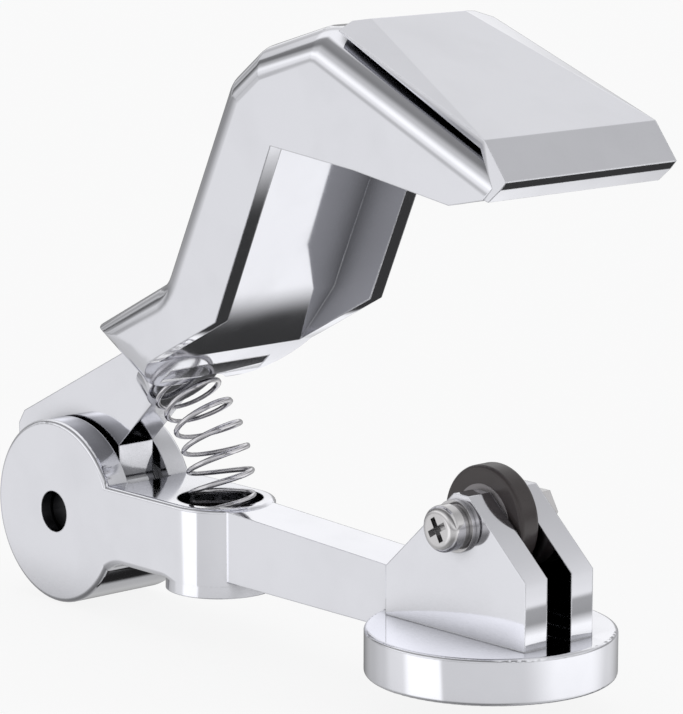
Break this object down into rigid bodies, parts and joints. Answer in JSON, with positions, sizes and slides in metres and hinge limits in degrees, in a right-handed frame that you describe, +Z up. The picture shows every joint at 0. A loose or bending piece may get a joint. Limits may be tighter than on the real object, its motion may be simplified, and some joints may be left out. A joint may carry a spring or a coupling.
{
  "type": "floor door holder",
  "caption": "Chromed sprung pedal lever hinged on a low base arm with a round foot and a small clevis roller.",
  "frame": {"origin": "centre of the round foot's flat underside", "axes": "+X from the hinge barrel towards the lever's tip, +Y along the hinge pin, +Z up, square to the foot"},
  "size_m": [0.1526, 0.044, 0.1194],
  "materials": {
    "chrome_body": "bright polished chrome plate over cast zinc",
    "dark_steel": "dark oiled steel",
    "plain_steel": "plain rolled steel",
    "plated_screw": "bright zinc-plated steel",
    "bush_brass": "plain turned brass",
    "spring_steel": "bright drawn spring wire",
    "roller_tread": "dark brown-grey smooth rubber",
    "roller_centre": "mid-grey moulded plastic"
  },
  "bodies": {
    "base": {"base_casting": "chrome_body", "hinge_pin": "dark_steel", "hinge_shim_near": "plain_steel", "hinge_shim_far": "plain_steel", "roller_screw": "plated_screw", "lock_washer": "plated_screw", "screw_washer_near": "plated_screw", "screw_washer_far": "plated_screw", "locknut": "plated_screw", "roller_spacers": "plain_steel", "roller_sleeve": "plain_steel"},
    "lever": {"lever_casting": "chrome_body", "pedal_pad": "chrome_body", "pad_screws": "plated_screw", "hub_bush": "bush_brass", "compression_spring": "spring_steel"},
    "roller": {"roller_tyre": "roller_tread", "roller_core": "roller_centre"}
  },
  "joints": [
    {"name": "lever_hinge", "type": "hinge", "parent": "base", "child": "lever", "pos_m": [-0.1103, 0, 0.0111], "axis": [0, 1, 0], "range_deg": [0, 22], "stiffness_Nm_per_rad": 1.9, "springref_deg": -17.19, "deforming": ["compression_spring"]},
    {"name": "roller_spin", "type": "hinge", "parent": "base", "child": "roller", "pos_m": [0, 0, 0.0273], "axis": [0, 1, 0], "continuous": true}
  ]
}
